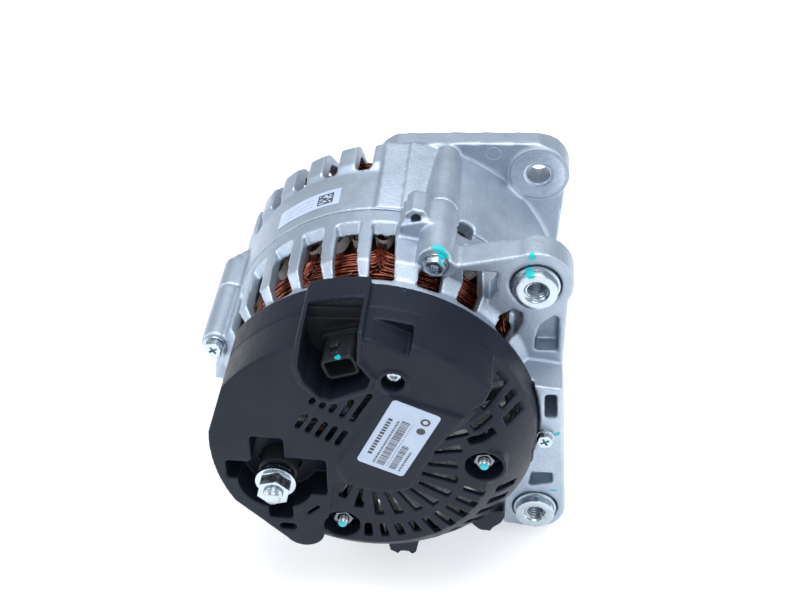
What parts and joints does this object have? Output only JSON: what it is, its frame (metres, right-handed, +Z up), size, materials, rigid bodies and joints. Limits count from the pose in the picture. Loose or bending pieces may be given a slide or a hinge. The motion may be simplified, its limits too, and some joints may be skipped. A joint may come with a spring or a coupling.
{
  "type": "car alternator",
  "caption": "Claw-pole car alternator with die-cast brackets, ribbed belt pulley, rear cover over rectifier and regulator, and two ear pairs for engine mounting.",
  "frame": {"origin": "on the rotor axis, in the plane of the outer faces of the two rear mounting bushes", "axes": "+Y along the rotor axis, out of the drive end where the pulley is; +Z up, towards the plug socket; +X towards the mounting ears"},
  "size_m": [0.1696, 0.1999, 0.1712],
  "materials": {
    "cast_aluminium": "fine-grained die-cast skin, satin",
    "cover_plastic": "satin moulded glass-filled plastic",
    "zinc_steel": "bright zinc plating",
    "machined_steel": "turned and ground steel",
    "pole_steel": "forged low-carbon steel, turned outside",
    "lamination": "stacked electrical steel sheets",
    "sheet_steel": "stamped sheet steel",
    "enamelled_copper": "enamelled copper wire, varnished",
    "bare_copper": "turned copper",
    "liner": "pressed insulating paper",
    "insulator": "moulded insulating plastic",
    "bobbin_plastic": "natural nylon",
    "bearing_steel": "ground and polished",
    "heatsink": "stamped aluminium",
    "carbon": "pressed copper-graphite",
    "contact_brass": "stamped brass, tin plated",
    "label_foil": "printed foil sticker"
  },
  "bodies": {
    "housing": {"rear_bracket": "cast_aluminium", "front_bracket": "cast_aluminium", "upper_rear_bush": "zinc_steel", "lower_rear_bush": "zinc_steel", "through_bolts": "zinc_steel", "stator_core": "lamination", "slot_liners": "liner", "stator_winding": "enamelled_copper", "front_bearing_outer_race": "bearing_steel", "rear_bearing_outer_race": "bearing_steel", "bearing_retainer": "sheet_steel", "retainer_screws": "zinc_steel", "rear_cover": "cover_plastic", "cover_studs": "zinc_steel", "cover_nuts": "zinc_steel", "cover_screw": "zinc_steel", "positive_heatsink": "heatsink", "negative_heatsink": "heatsink", "rectifier_terminal_ring": "insulator", "rectifier_diodes": "sheet_steel", "rectifier_leads": "contact_brass", "rectifier_screws": "zinc_steel", "phase_leads": "enamelled_copper", "b_plus_stud": "zinc_steel", "b_plus_insulator": "insulator", "b_plus_washer": "zinc_steel", "b_plus_nut": "zinc_steel", "regulator_housing": "insulator", "connector_pins": "contact_brass", "regulator_screws": "zinc_steel", "brush_spring_positive": "machined_steel", "brush_spring_negative": "machined_steel", "cover_label": "label_foil", "housing_label": "label_foil"},
    "rotor": {"rotor_shaft": "machined_steel", "rear_claw_pole": "pole_steel", "front_claw_pole": "pole_steel", "coil_bobbin": "bobbin_plastic", "field_coil": "enamelled_copper", "rear_fan": "sheet_steel", "front_fan": "sheet_steel", "slip_ring_body": "insulator", "slip_rings": "bare_copper", "front_bearing_inner_race": "bearing_steel", "rear_bearing_inner_race": "bearing_steel", "front_spacer": "machined_steel", "pulley": "machined_steel", "pulley_spacer": "machined_steel", "pulley_nut": "zinc_steel", "pulley_washer": "zinc_steel"},
    "front_ball_set": {"front_bearing_balls": "bearing_steel", "front_bearing_cage": "bobbin_plastic"},
    "rear_ball_set": {"rear_bearing_balls": "bearing_steel", "rear_bearing_cage": "bobbin_plastic"},
    "brush_positive": {"brush_positive": "carbon"},
    "brush_negative": {"brush_negative": "carbon"}
  },
  "joints": [
    {"name": "rotor_spin", "type": "hinge", "parent": "housing", "child": "rotor", "pos_m": [0, 0.05, 0], "axis": [0, 1, 0], "continuous": true},
    {"name": "front_balls_spin", "type": "hinge", "parent": "housing", "child": "front_ball_set", "pos_m": [0, 0.095, 0], "axis": [0, 1, 0], "continuous": true},
    {"name": "rear_balls_spin", "type": "hinge", "parent": "housing", "child": "rear_ball_set", "pos_m": [0, -0.0005, 0], "axis": [0, 1, 0], "continuous": true},
    {"name": "brush_positive_slide", "type": "slide", "parent": "housing", "child": "brush_positive", "axis": [0, 0, 1], "range_m": [0, 0.004], "stiffness_N_per_m": 100, "springref_m": -0.03, "deforming": ["brush_spring_positive"]},
    {"name": "brush_negative_slide", "type": "slide", "parent": "housing", "child": "brush_negative", "axis": [0, 0, 1], "range_m": [0, 0.004], "stiffness_N_per_m": 100, "springref_m": -0.03, "deforming": ["brush_spring_negative"]}
  ],
  "couplings": [
    {"joint": "front_balls_spin", "follows": "rotor_spin", "ratio": 0.364},
    {"joint": "rear_balls_spin", "follows": "rotor_spin", "ratio": 0.38}
  ]
}
